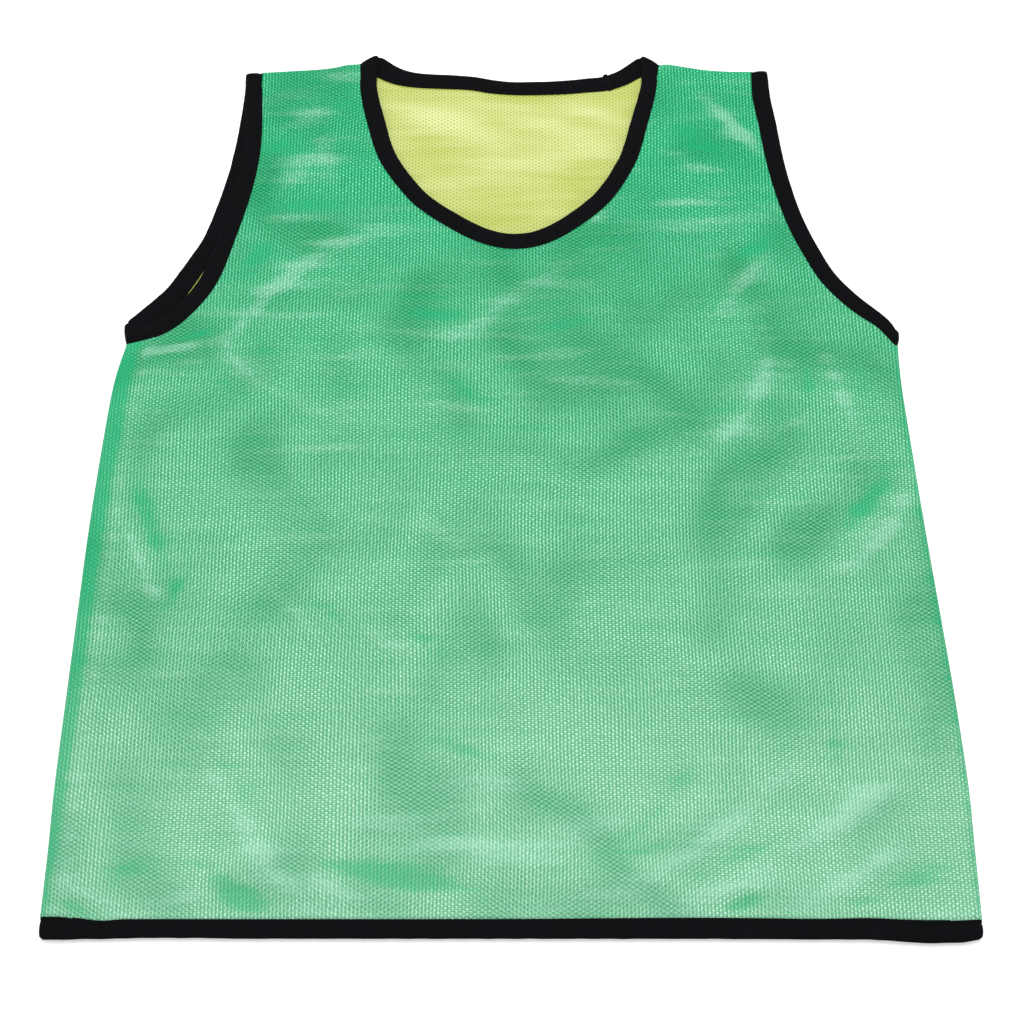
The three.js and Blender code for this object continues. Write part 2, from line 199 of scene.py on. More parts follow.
def sewnLine(name, steps):
    start, between, end = sewnLines[name]
    return curveThrough([corner(start), *between, corner(end)], steps)


def frontNeckLine(steps, bottomSteps):  # from peak to peak, down round the front of the neck
    return np.vstack([
        curveThrough(neckSides["left"], steps)[::-1],
        curveThrough(neckSides["bottom"], bottomSteps)[1:-1],
        curveThrough(neckSides["right"], steps),
    ])


# The soft folds and creases of the front. Each is a ridge, or a trough where its height is negative, bowed
# sideways at its ends where it curves. The first table holds the large folds, which the solids have too.
largeFolds = [
    # x, y, turned, long, wide, high, bow
    (-242, 72, 14, 70, 22, 2.6, 0),
    (-248, 20, -82, 90, 20, 2.2, 0),
    (248, -52, 48, 110, 22, 3, 0),
    (215, -30, 52, 90, 20, 2, 0),
    (157, 28, 46, 100, 30, 2, 0),
    (215, -258, 30, 80, 24, 2.4, 0),
    (40, -300, -6, 140, 24, 2.6, 0),
    (-64, -292, 11, 90, 22, 1.8, 0),
    (-180, -296, 24, 70, 24, 2.2, 0),
    (168, 266, -53, 70, 22, 2.4, 0),
    (-150, 250, 70, 90, 30, 1.8, 0),
    (-30, 96, 6, 150, 26, 1.8, 0),
    (70, 60, -8, 130, 30, 1.6, 0),
    (-16, -228, 4, 90, 24, 1.8, 0),
    (-120, -60, 18, 160, 40, 1.8, 0),
]
fineCreases = [
    # x, y, turned, long, wide, high, bow: at the left underarm
    (-243, 84, 13, 60, 9, 1.6, 0),
    (-252, 73, 14, 40, 8, -1.2, 0),
    (-224, 97, 20, 40, 9, -0.9, 0),
    (-208, 62, -50, 55, 9, -0.8, 5),
    (-196, 72, -55, 60, 8, 0.6, 5),
    (-182, 90, -63, 50, 9, -0.7, 4),
    (-150, 38, -28, 90, 12, 0.5, 5),
    (-140, 26, -26, 90, 9, -0.4, 5),
    # from the underarm towards the neck
    (-160, 148, 42, 120, 18, 1, -9),
    (-178, 126, 50, 70, 9, 0.6, -4),
    (-187, 161, 45, 34, 20, -1.6, 0),
    (-150, 139, 12, 90, 8, 0.5, -3),
    (-148, 129, 8, 80, 8, -0.5, 0),
    (-140, 112, 0, 90, 8, 0.5, 0),
    (-118, 176, 6, 60, 9, 0.6, 0),
    # on the left strap
    (-137, 242, -70, 50, 20, 0.8, 0),
    (-165, 228, 60, 60, 20, 0.5, 0),
    (-148, 209, 8, 80, 16, -1.3, 0),
    (-172, 194, 5, 50, 12, 0.7, 0),
    (-150, 288, 25, 50, 16, 0.9, 0),
    (-165, 263, 15, 60, 14, -1, 0),
    (-125, 300, -5, 40, 14, -0.8, 0),
    (-132, 319, 10, 40, 12, 0.8, 0),
    # on the right strap
    (167, 276, -49, 62, 12, 1.5, 0),
    (141, 262, -30, 50, 18, -1.4, 0),
    (140, 240, -22, 70, 14, 0.8, 3),
    (125, 217, 0, 60, 8, -0.7, 0),
    (120, 207, 2, 60, 9, 0.9, 0),
    (125, 198, 2, 60, 8, -0.8, 0),
    (128, 188, 3, 70, 9, 0.9, 0),
    (120, 178, 3, 70, 8, -0.5, 0),
    (62, 195, 40, 24, 10, 0.8, 0),
    (176, 168, 35, 36, 14, -1.5, 0),
    (166, 136, 55, 60, 12, 0.9, 0),
    # below the neck
    (-15, 114, 38, 70, 16, 0.9, 0),
    (28, 146, 30, 50, 16, 0.5, 0),
    (-52, 112, -2, 56, 9, -1.4, 0),
    (35, 105, 8, 40, 11, -1.2, 0),
    (-97, 122, 0, 46, 8, -0.9, 0),
    (-32, 50, -30, 46, 12, -1.1, 0),
    (-38, 34, -4, 60, 10, 0.9, 0),
    (-6, 67, 4, 34, 8, -0.9, 0),
    (-100, 55, 0, 40, 9, -0.8, 0),
    (-125, 4, 0, 60, 9, 0.8, 0),
    # down the right side
    (171, 41, 62, 95, 12, 1, 11),
    (210, 58, -88, 40, 12, -1, 0),
    (233, 50, -72, 60, 11, 0.9, 0),
    (200, 25, 30, 40, 12, 0.7, 0),
    (252, 45, -80, 70, 14, -0.6, 0),
    (247, -38, 52, 60, 16, -1.8, 0),
    (254, -65, 50, 80, 11, 1.3, 8),
    (45, -122, 60, 50, 10, 0.5, 0),
    (34, -138, 60, 30, 9, -0.6, 0),
    # down the left side
    (-249, -55, -69, 85, 13, -1.5, 0),
    (-256, -78, -66, 60, 8, 1, 0),
    (-242, -105, -25, 24, 10, 1.2, 0),
    (-229, -103, 60, 26, 9, -1.3, 0),
    (-145, -122, -45, 60, 9, 1, 0),
    (-120, -122, -40, 50, 9, -1, 0),
    (-90, -138, -20, 50, 10, 1, 0),
    (-60, -138, -36, 34, 9, -1, 0),
    (-48, -62, -35, 50, 10, 0.5, 0),
    (-85, -178, 0, 40, 10, 0.7, 0),
    # above the hem, in arcs that open upwards
    (-30, -218, -20, 60, 10, -1, 0),
    (-15, -238, -6, 60, 11, 0.9, 0),
    (-4, -284, 0, 140, 16, 1.1, 15),
    (30, -302, 5, 60, 10, -0.7, 0),
    (-68, -303, -8, 90, 16, -2.2, 0),
    (-178, -311, -32, 50, 16, -2.2, 0),
    (-160, -290, -52, 80, 16, 1.2, 4),
    (-175, -250, -52, 90, 11, -0.6, 5),
    (-188, -244, -55, 90, 11, 0.6, 5),
    (-120, -306, -38, 60, 14, 1, 3),
    (-208, -316, 10, 30, 10, 1, 0),
    (-250, -300, 30, 40, 14, -0.8, 0),
    (-277, -323, -22, 34, 7, -1.6, 0),
    (-272, -313, -24, 34, 7, 1.1, 0),
    (90, -262, 42, 90, 14, -0.9, 6),
    (85, -286, 20, 40, 14, -0.8, 0),
    (132, -275, 36, 150, 14, 1, 8),
    (150, -287, 24, 80, 13, -0.9, 0),
    (135, -311, 15, 60, 13, 1.4, 0),
    (147, -319, 20, 26, 10, -2, 0),
    (188, -280, 24, 60, 12, 1, 0),
    (228, -253, 36, 50, 16, 1.5, 0),
    (218, -304, 30, 80, 13, 1.2, 4),
    (222, -318, 10, 30, 9, -0.8, 0),
    (213, -212, -86, 40, 10, -0.7, 0),
    (262, -302, 20, 50, 18, -0.8, 0),
]
# Small wrinkles that lie beside each other, each group round its middle.
wrinkleGroups = [
    # x, y, width, height, turned, count, long, high
    (-20, 90, 420, 150, 1, 80, 80, 0.4),
    (140, 200, 70, 70, 6, 14, 70, 0.45),
    (-150, 100, 110, 80, 2, 20, 80, 0.45),
    (0, -60, 480, 120, -2, 60, 80, 0.3),
    (0, -180, 480, 120, 0, 60, 80, 0.3),
    (30, -280, 460, 60, 3, 40, 90, 0.3),
]
# How much the wrinkles of a group differ: in degrees, in shares of the group's length and height, and in
# millimetres wide and bowed.
wrinkleSpread = {"turned": 7, "long": (0.5, 1.3), "wide": (7, 12), "high": (0.5, 1.2), "bow": 2}


def wrinkles(seed):
    dice = random.Random(seed)
    spread = wrinkleSpread
    rows = []
    for x, y, width, height, turned, count, long, high in wrinkleGroups:
        for _ in range(count):
            rows.append((
                x + dice.uniform(-0.5, 0.5) * width,
                y + dice.uniform(-0.5, 0.5) * height,
                turned + dice.gauss(0, spread["turned"]),
                long * dice.uniform(*spread["long"]),
                dice.uniform(*spread["wide"]),
                high * dice.choice([-1, 1]) * dice.uniform(*spread["high"]),
                dice.gauss(0, spread["bow"]),
            ))
    return rows


frontWrinkles = wrinkles(3)


def creaseHeight(rows, x, y):
    total = np.zeros_like(x)
    for middleX, middleY, turned, long, wide, high, bow in rows:
        (c, s), dx, dy = heading(turned), x - middleX, y - middleY
        lengthwise = (dx * c + dy * s) / (long / 2)
        sideways = (dy * c - dx * s - bow * lengthwise**2) / (wide / 2)
        total += high * np.exp(-(lengthwise**2) - sideways**2)
    return total


def nearest(lines, x, y):  # how far each point is from the nearest of some lines
    least = np.full(x.shape, 1e9)
    for line in lines:
        for (ax, ay), (bx, by) in zip(line, line[1:]):
            dx, dy = bx - ax, by - ay
            share = np.clip(((x - ax) * dx + (y - ay) * dy) / (dx * dx + dy * dy), 0, 1)
            least = np.minimum(least, np.hypot(x - ax - share * dx, y - ay - share * dy))
    return least


levelling = {"side": 34, "shoulder": 24, "folds": 24, "creases": 9}  # how far in each of them reaches
shoulderLines = [sewnLine("leftShoulder", 6), sewnLine("rightShoulder", 6)]
bodyHeights = np.linspace(hemLine, underarm, 24)
levelSteps = 14  # of an edge that the cloth is level along
frontNeckEdge, backNeckEdge = frontNeckLine(levelSteps, 10), sewnLine("backNeck", levelSteps)
levelLines = [
    frontNeckEdge, sewnLine("frontArmholeLeft", levelSteps), sewnLine("armholeRight", levelSteps),
    [corner("hemLeft"), corner("hemRight")], *shoulderLines,
    np.column_stack([leftBase(bodyHeights), bodyHeights]),
    np.column_stack([rightBase(bodyHeights), bodyHeights]),
]


def frontTop(x, y):  # how high the front's outer face lies
    leftShare = np.maximum(x - leftBase(y), 0) / levelling["side"]
    rightShare = np.maximum(rightBase(y) - x, 0) / levelling["side"]
    sides = leftPuff(y) * fade(leftShare) + rightPuff(y) * fade(rightShare)
    shoulder = form["seamPuff"] * fade(nearest(shoulderLines, x, y) / levelling["shoulder"])
    edge = nearest(levelLines, x, y)
    folds = (1 - fade(edge / levelling["folds"])) * (form["frontPuff"] + creaseHeight(largeFolds, x, y))
    creases = creaseHeight(fineCreases, x, y) * form["creaseDepth"] + creaseHeight(frontWrinkles, x, y)
    return form["stack"] + sides + shoulder + folds + (1 - fade(edge / levelling["creases"])) * creases


# Nets. A net is a grid of points in plan, with how far each has turned under at a fold, which way, and the
# fold's puff.
turnSteps = 7
cornerEase = 25  # how far from a corner a fold's way is still turned to that corner's
chestBow = 1.8  # how late the chest line rises from the armhole to the neck


def blend(bottom, top, left, right):  # a grid between four edges
    s = np.linspace(0, 1, len(bottom))[None, :, None]
    t = np.linspace(0, 1, len(left))[:, None, None]
    between = (1 - t) * bottom[None] + t * top[None] + (1 - s) * left[:, None] + s * right[:, None]
    low = (1 - s) * bottom[0] + s * bottom[-1]
    high = (1 - s) * top[0] + s * top[-1]
    return between - (1 - t) * low - t * high


def foldEdge(edge, first, last, out, puff):  # how the points of a fold turn under, from corner to corner
    along = np.append(0, np.cumsum(np.linalg.norm(np.diff(edge, axis=0), axis=1)))
    ease = min(cornerEase, along[-1] / 4)
    ways = [corners[first][3], out, out, corners[last][3]]
    angles = np.interp(along, [0, ease, along[-1] - ease, along[-1]], ways)
    outs = np.array([heading(angle) for angle in angles])
    return np.column_stack([edge, outs, puff(edge[:, 1])])


def makeNet(plan, left=None, right=None, top=None):
    rows, columns = plan.shape[:2]
    net = np.zeros((rows, columns, 6))  # x, y, turned, outX, outY, puff
    net[..., :2] = plan

    def turned(edge):  # the points of a quarter turn, step by step outwards
        for step in range(1, turnSteps + 1):
            angle = np.full(len(edge), 90 * step / turnSteps)
            yield np.column_stack([edge[:, :2], angle, edge[:, 2:]])

    if left is not None:
        for column in turned(left):
            net = np.concatenate([column[:, None], net], axis=1)
    if right is not None:
        for column in turned(right):
            net = np.concatenate([net, column[:, None]], axis=1)
    if top is not None:
        for row in turned(top):
            net = np.concatenate([net, row[None]], axis=0)
    return net


cells = {"strap": 66, "neckBottom": 34, "strapRows": 88, "bodyRows": 128, "shoulder": 46, "backNeck": 66}


def chestLine(start, end, steps):  # level under the armhole, then rising to the neck
    share = np.linspace(0, 1, steps + 1)
    return np.column_stack([
        start[0] + (end[0] - start[0]) * share,
        start[1] + (end[1] - start[1]) * share**chestBow,
    ])


def bodyNet(chest, rows):
    sides = []
    for low, high, base in (("hemLeft", "underarmLeft", leftBase), ("hemRight", "underarmRight", rightBase)):
        heights = np.linspace(corners[low][1], corners[high][1], rows + 1)
        sides.append(np.column_stack([base(heights), heights]))
    left, right = sides
    across = (chest[:, 0] - chest[0, 0]) / (chest[-1, 0] - chest[0, 0])
    hemX = corners["hemLeft"][0] + across * (corners["hemRight"][0] - corners["hemLeft"][0])
    line = sewnLine("hem", 200)
    hem = np.column_stack([hemX, np.interp(hemX, line[:, 0], line[:, 1])])
    return makeNet(
        blend(hem, chest, left, right),
        left=foldEdge(left, "hemLeft", "underarmLeft", 180, leftPuff),
        right=foldEdge(right, "hemRight", "underarmRight", 0, rightPuff),
    )


def straight(start, end, steps):
    share = np.linspace(0, 1, steps + 1)
    return np.outer(1 - share, start) + np.outer(share, end)


def frontNets(scale):
    strap, rows = round(cells["strap"] * scale), round(cells["strapRows"] * scale)
    bottom = curveThrough(neckSides["bottom"], round(cells["neckBottom"] * scale))
    leftChest = chestLine(corner("underarmLeft"), bottom[0], strap)
    rightChest = chestLine(corner("underarmRight"), bottom[-1], strap)[::-1]
    chest = np.vstack([leftChest, bottom[1:-1], rightChest])
    leftShoulder, rightShoulder = sewnLine("leftShoulder", strap), sewnLine("rightShoulder", strap)
    leftNeck, rightNeck = curveThrough(neckSides["left"], rows), curveThrough(neckSides["right"], rows)
    return [
        bodyNet(chest, round(cells["bodyRows"] * scale)),
        makeNet(
            blend(leftChest, leftShoulder, sewnLine("frontArmholeLeft", rows), leftNeck),
            top=foldEdge(leftShoulder, "shoulderLeft", "neckLeft", 90, seamPuff),
        ),
        makeNet(
            blend(rightChest, rightShoulder, rightNeck, sewnLine("armholeRight", rows)),
            top=foldEdge(rightShoulder, "neckRight", "shoulderRight", 90, seamPuff),
        ),
    ]


def backNets(scale):
    shoulder, neck = round(cells["shoulder"] * scale), round(cells["backNeck"] * scale)
    rows = round(cells["strapRows"] * scale)
    leftShoulder, rightShoulder = sewnLine("leftShoulder", shoulder), sewnLine("rightShoulder", shoulder)
    top = np.vstack([leftShoulder, sewnLine("backNeck", neck)[1:-1], rightShoulder])
    chest = straight(corner("underarmLeft"), corner("underarmRight"), len(top) - 1)
    yoke = blend(chest, top, sewnLine("backArmholeLeft", rows), sewnLine("armholeRight", rows))
    nets = [bodyNet(chest, round(cells["bodyRows"] * scale)), makeNet(yoke)]
    folds = ((leftShoulder, "shoulderLeft", "neckLeft"), (rightShoulder, "neckRight", "shoulderRight"))
    for edge, first, last in folds:
        nets.append(makeNet(edge[None], top=foldEdge(edge, first, last, 90, seamPuff)))
    return nets


def clothPlaces(net):  # each point's place on the flat cloth
    arc = foldRadius(net[..., 5]) * np.radians(net[..., 2])
    return net[..., :2] + net[..., 3:5] * arc[..., None]


def foldedPlaces(net, depth, flatHeight, way):
    # way is 1 for the front, whose outer face is up, and -1 for the back
    turned = np.radians(net[..., 2])
    radius = foldRadius(net[..., 5])
    reach = (radius - depth) * np.sin(turned)
    rise = (radius - depth) * np.cos(turned)
    middle = radius + (form["gap"] if way > 0 else 0)
    height = np.where(turned > 0, middle + way * rise, flatHeight)
    return np.dstack([net[..., :2] + net[..., 3:5] * reach[..., None], height])


def frontPlaces(net, depth):
    return foldedPlaces(net, depth, frontTop(net[..., 0], net[..., 1]) - depth, 1)


def backPlaces(net, depth):
    return foldedPlaces(net, depth, np.full(net.shape[:2], float(depth)), -1)


# The inside of the back lies on its outside, and stands up in soft folds where the neck shows it.
insideFolds = [
    # x, y, turned, long, wide, high, bow
    (-54, 284, -18, 80, 22, 1.2, 0),
    (44, 272, -22, 90, 24, 1, 0),
    (60, 292, -20, 60, 14, 0.9, 0),
    (20, 250, 8, 90, 26, 0.6, 0),
    (-30, 232, 4, 80, 22, 0.5, 0),
    (-20, 300, -6, 110, 10, 0.5, 0),
]
neckOpening = {
    "low": 178,  # the folds lie above this
    "halfWidth": 95,
    "underTape": 0.6,  # of the tape's width, where the cloth is held down
    "reach": 18,  # from there to its full height
    "lift": 0.5,
}


def backInsidePlaces(net, depth):
    places = backPlaces(net, depth)
    x, y = net[..., 0], net[..., 1]
    edge = nearest([frontNeckEdge, backNeckEdge], x, y)
    shown = (y > neckOpening["low"]) & (np.abs(x) < neckOpening["halfWidth"]) & (net[..., 2] == 0)
    reach = 1 - fade((edge - form["tapeWidth"] * neckOpening["underTape"]) / neckOpening["reach"])
    places[..., 2] += np.where(shown, reach * (neckOpening["lift"] + creaseHeight(insideFolds, x, y)), 0)
    return places


# Mesh helpers.
touching = 0.00002  # points nearer than this, in metres, become one


def selectOnly(*pieces):
    bpy.ops.object.select_all(action="DESELECT")
    for piece in pieces:
        piece.select_set(True)
    bpy.context.view_layer.objects.active = pieces[0]


def gridPiece(name, places, cloth):
    # a grid whose points are moved to their places; cloth holds their places on the flat cloth
    rows, columns = places.shape[0] - 1, places.shape[1] - 1
    bpy.ops.object.select_all(action="DESELECT")
    bpy.ops.mesh.primitive_grid_add(x_subdivisions=columns, y_subdivisions=rows, size=1)
    piece = bpy.context.object
    piece.name = piece.data.name = name
    mesh = piece.data
    start = np.zeros(len(mesh.vertices) * 3)
    mesh.vertices.foreach_get("co", start)
    start = start.reshape(-1, 3)
    column = np.rint((start[:, 0] + 0.5) * columns).astype(int)
    row = np.rint((start[:, 1] + 0.5) * rows).astype(int)
    mesh.vertices.foreach_set("co", (places[row, column] * mm).ravel())
    loopPoints = np.zeros(len(mesh.loops), int)
    mesh.loops.foreach_get("vertex_index", loopPoints)
    mesh.uv_layers.active.data.foreach_set("uv", (cloth[row, column] * mm)[loopPoints].ravel())
    mesh.uv_layers.active.name = "cloth"
    return piece


def inEditMode(piece, *steps):
    selectOnly(piece)
    bpy.ops.object.mode_set(mode="EDIT")
    bpy.ops.mesh.select_all(action="SELECT")
    for step in steps:
        step()
    bpy.ops.object.mode_set(mode="OBJECT")


def mergeDoubles():
    bpy.ops.mesh.remove_doubles(threshold=touching)


fineness = {"front_green": 1, "front_yellow": 0.8, "back_green": 0.7, "back_yellow": 0.8}  # of their nets


def clothPiece(name, makeNets, place, depth, sheenAndShade, faceDown=False):
    patches = [gridPiece(name, place(net, depth), clothPlaces(net)) for net in makeNets(fineness[name])]
    piece = patches[0]
    selectOnly(*patches)
    bpy.ops.object.join()
    steps = [mergeDoubles] + ([bpy.ops.mesh.flip_normals] if faceDown else [])
    inEditMode(piece, *steps)
    wall = piece.modifiers.new("wall", "SOLIDIFY")
    wall.thickness = form["cloth"] * mm
    wall.offset = -1
    bpy.ops.object.modifier_apply(modifier="wall")
    bpy.ops.object.shade_smooth()
    points = np.zeros(len(piece.data.vertices) * 3)
    piece.data.vertices.foreach_get("co", points)
    x, y, _ = points.reshape(-1, 3).T / mm
    # Each point stores its painted sheen, and below 0 its painted shade, which the finishes turn into colour.
    stored = piece.data.attributes.new("creaseShading", "FLOAT", "POINT")
    stored.data.foreach_set("value", sheenAndShade(x, y).astype(np.float32))
    print("cloth:", name, len(piece.data.polygons), "faces")
    return piece


# How strongly each kind of fold shows in the colour, as painted sheen and painted shade.
pull = {
    "creaseShading": 0.8,
    "fold": 0.12,
    "wrinkle": 0.5,
    "insideFold": 0.8,
    "hem": 0.8,
    "leftRollShade": 1.5,
    "leftEdgeHighlight": 0.4,
    "rightRollShade": 0.8,
}
# The painted shade on the rolls at the sides, the painted highlight beside the left one, and the painted
# sheen along the hem.
rolls = {
    "heights": (-330, -250, 60),
    "leftWidths": (0, 4, 8),  # at these heights
    "end": 10,  # above the underarm
    "blur": 8,
    "leftMiddle": 4,
    "rightMiddle": 3,
    "edgeAt": 7,
    "edgeWide": 4,
    "hemWide": 6,
    "hemPitch": 14,  # of the hem's gathers, along which the painted sheen varies
}


def frontSheenAndShade(x, y):  # painted sheen: how pale the cloth is on ridges, and below 0 painted shade: how deep its colour lies in troughs and on the side rolls
    body = y < underarm + rolls["end"]
    # Painted shade on the rolls at the sides, and a painted highlight beside the left roll.
    intoLeft = x - leftBase(y)
    rollWide = np.interp(y, rolls["heights"], rolls["leftWidths"])
    leftRollShade = fade((intoLeft - rollWide + rolls["leftMiddle"]) / rolls["blur"]) * pull["leftRollShade"]
    besideRoll = (intoLeft - rollWide - rolls["edgeAt"]) / rolls["edgeWide"]
    leftEdgeHighlight = np.exp(-(besideRoll**2)) * pull["leftEdgeHighlight"]
    rightRollShade = fade((rightBase(y) - x + rolls["rightMiddle"]) / rolls["blur"]) * pull["rightRollShade"] * body
    # Painted sheen along the hem, brighter and dimmer along its gathers.
    gathers = 0.7 + 0.3 * np.sin(x / rolls["hemPitch"])
    hemSheen = fade((y - hemLine) / rolls["hemWide"]) * pull["hem"] * gathers
    # Painted sheen on the ridges of creases, wrinkles and folds, painted shade in their troughs.
    creases = creaseHeight(fineCreases, x, y) * pull["creaseShading"]
    creases = creases + creaseHeight(frontWrinkles, x, y) * pull["wrinkle"]
    folds = creaseHeight(largeFolds, x, y) * pull["fold"]
    return creases + folds + hemSheen - (leftRollShade - leftEdgeHighlight) * body - rightRollShade


def backSheenAndShade(x, y):
    # Painted sheen on the folds of the inside.
    return creaseHeight(insideFolds, x, y) * pull["insideFold"]


backLiningDepth = form["liningDepth"] + form["backAir"]
frontGreen = clothPiece("front_green", frontNets, frontPlaces, 0, frontSheenAndShade)
frontYellow = clothPiece("front_yellow", frontNets, frontPlaces, form["liningDepth"], frontSheenAndShade)
backGreen = clothPiece("back_green", backNets, backPlaces, 0, backSheenAndShade, faceDown=True)
backYellow = clothPiece("back_yellow", backNets, backInsidePlaces, backLiningDepth, backSheenAndShade, faceDown=True)

# Tapes. A tape is a ring of stations: along the front's edge, round a fold, back along the back's edge and
# round the other fold. A station has its place on the sewn line, the way its width lies, how far it has
# turned under and which way.
tape = {
    "stepLength": 3.2,  # between stations
    "turnSteps": 10,
    "crown": 0.25,  # how far the middle stands above the edges
    "groove": 0.3,  # depth of the stitched groove
    "grooveAt": 2.2,  # from the sewn edge
    "overlap": 0.8,  # over the panel
    "edgeWave": 0.08,
    "waveLengths": (9, 40),
    "cornerRounding": 3.2,  # of the fold's end at a corner
    "cornerBlunt": 1.02,  # at 1 that end would come to a point
    "neckFurther": 2.2,  # how much further the back of the neck reaches at its corners
}
turnRadius = (form["tapeThickness"] + form["gap"]) / 2  # of a tape's middle, where it turns under
fullTurn = 6.28  # radians


def runStations(line, first, last, side, widths, further):
    run = np.gradient(line, axis=0)
    run /= np.linalg.norm(run, axis=1)[:, None]
    across = np.column_stack([-run[:, 1], run[:, 0]]) * side
    across[0], across[-1] = heading(corners[first][2]), heading(corners[last][2])
    wide = np.interp(np.linspace(0, 1, len(line)), np.linspace(0, 1, len(widths)), widths)
    wide[0], wide[-1] = corners[first][4] + further, corners[last][4] + further
    length = np.linalg.norm(np.diff(line, axis=0), axis=1).sum()
    return curveThrough(np.column_stack([line, across, wide]), round(length / tape["stepLength"]))


def tapeStations(front, back, first, last, side, frontWidths, backWidths, further=0):
    # the back's run reaches further than the front's at the corners
    rows = []  # x, y, acrossX, acrossY, wide, outX, outY, turned
    for line, turned, widths in ((front, 0, frontWidths), (back, 180, backWidths)):
        run = runStations(line, first, last, side, widths, further * turned / 180)
        run[:, 2:4] /= np.linalg.norm(run[:, 2:4], axis=1)[:, None]
        stretch = [np.append(row, [*row[2:4], turned]) for row in run]
        for row, name in ((stretch[0], first), (stretch[-1], last)):
            row[5:7] = heading(corners[name][3])
        rows.append(stretch)
    frontRun, backRun = rows

    def halfTurn(name):
        x, y, across, out, wide = corners[name]
        angles = np.linspace(0, 180, tape["turnSteps"] * 2 + 1)[1:-1]
        return [
            np.array([x, y, *heading(across), wide + further * angle / 180, *heading(out), angle])
            for angle in angles
        ]

    return np.array([*frontRun, *halfTurn(last), *backRun[::-1], *halfTurn(first)[::-1]])


def tapeSection(wide):
    # sideways place and height of the folded tape's outline, as shares of its half thickness
    near, groove = -tape["overlap"], tape["grooveAt"]
    bottom, slope = 1 - tape["groove"], 1 - tape["groove"] * 0.6
    top = [
        (near, 0.0), (near, 0.72), (near + 0.35, 0.98),
        (groove - 0.9, 1.0), (groove - 0.35, slope), (groove, bottom),
        (groove + 0.35, slope), (groove + 0.9, 1.0),
        (wide * 0.42, 1 + tape["crown"] * 0.7), (wide * 0.65, 1 + tape["crown"] * 0.5),
        (wide - 1.6, 1.0), (wide - 0.7, 0.86), (wide - 0.2, 0.5), (wide, 0.0),
    ]
    under = [(sideways, -height if height <= 1 else -1) for sideways, height in top[-2:0:-1]]
    return np.array(top + under)


def tapePiece(name, stations, foldAway=None):
    half = form["tapeThickness"] / 2
    count = len(stations)
    dice = random.Random(name)
    waves = [(dice.uniform(*tape["waveLengths"]), dice.uniform(0, fullTurn)) for _ in range(4)]
    along = np.append(0, np.cumsum(np.linalg.norm(np.diff(stations[:, :2], axis=0), axis=1)))
    places, cloth = [], []
    for i in range(count + 1):
        x, y, acrossX, acrossY, wide, outX, outY, turned = stations[i % count]
        section = tapeSection(wide)
        distance = along[i] if i < count else along[-1] + tape["stepLength"]
        wobble = sum(math.sin(fullTurn * (x + y) / long + phase) for long, phase in waves)
        folded = foldAway(x, y, wide, turned) if foldAway else 0
        share = np.clip(section[:, 0] / wide, 0, 1)
        sideways = section[:, 0] + share * (folded + tape["edgeWave"] * wobble / 2)
        thick = section[:, 1] * half
        rounding = np.clip((section[:, 0] - wide) / tape["cornerRounding"] + 1, 0, 1)
        blunt = np.sqrt(tape["cornerBlunt"] - rounding**2)
        reach = (turnRadius + thick) * math.sin(math.radians(turned)) * blunt
        rise = (turnRadius + thick) * math.cos(math.radians(turned))
        places.append(np.column_stack([
            x + acrossX * sideways + outX * reach, y + acrossY * sideways + outY * reach,
            np.maximum(tapeMiddle + rise, 0),
        ]))
        girth = np.append(0, np.cumsum(np.linalg.norm(np.diff(section, axis=0), axis=1)))
        cloth.append(np.column_stack([np.full(len(section), distance), girth]))
    places, cloth = np.array(places), np.array(cloth)
    places = np.concatenate([places, places[:, :1]], axis=1)
    closing = cloth[:, -1:] + [0, form["tapeThickness"] / 2]
    cloth = np.concatenate([cloth, closing], axis=1)
    piece = gridPiece(name, places, cloth)
    inEditMode(piece, mergeDoubles, lambda: bpy.ops.mesh.normals_make_consistent(inside=False))
    bpy.ops.object.shade_smooth()
    print("tape:", name, len(piece.data.polygons), "faces")
    return piece


# The fold of the hem tape, which wanders by itself.
hemFolds = [
    # x, y
    (-299, -342.4), (-285, -342.5), (-262, -342.1), (-250, -341.7), (-234, -341.3), (-200, -341.3),
    (-175, -341.8), (120, -341.9), (196, -342.3), (226, -342.3), (237, -342.9), (248, -343.8),
    (260, -344.6), (275, -344.6), (286, -344.1), (297, -342.2),
]
hemBackShorter = 1.8


def hemFold(x, y, wide, turned):  # how far the fold lies from where the tape's width puts it
    return y - wide - np.interp(x, *zip(*hemFolds)) - np.interp(turned, [0, 180], [0, hemBackShorter])


tapeWidths = {  # along a run, from its first corner to its last
    "neckFront": (11.6, 13, 12.5, 12.5, 12.5, 12.5, 12.5, 12.2, 11.2),
    "neckBack": (17.6, 16.4, 14.7, 13.1, 12.7, 12.5, 12.2, 11.9, 11.6, 11.7, 11.9, 12.1, 12.4, 12.8, 13.5,
                 14.9, 17.6),
    "leftFront": (12.5, 12.6, 12.6, 12.5, 12.5, 12.5),
    "leftBack": (17, 15.3, 14, 13.7, 13.2, 13.6, 13),
    "right": (11.6, 13.2),
    "hem": (form["hemTapeWidth"], form["hemTapeWidth"]),
}
rightLine, hemEdge = sewnLine("armholeRight", 11), sewnLine("hem", 90)
neckStations = tapeStations(
    frontNeckLine(11, 6), sewnLine("backNeck", 16), "neckLeft", "neckRight", 1,
    tapeWidths["neckFront"], tapeWidths["neckBack"], tape["neckFurther"])
leftStations = tapeStations(
    sewnLine("frontArmholeLeft", 15), sewnLine("backArmholeLeft", 15), "underarmLeft", "shoulderLeft", 1,
    tapeWidths["leftFront"], tapeWidths["leftBack"])
rightStations = tapeStations(
    rightLine, rightLine, "underarmRight", "shoulderRight", -1, tapeWidths["right"], tapeWidths["right"])
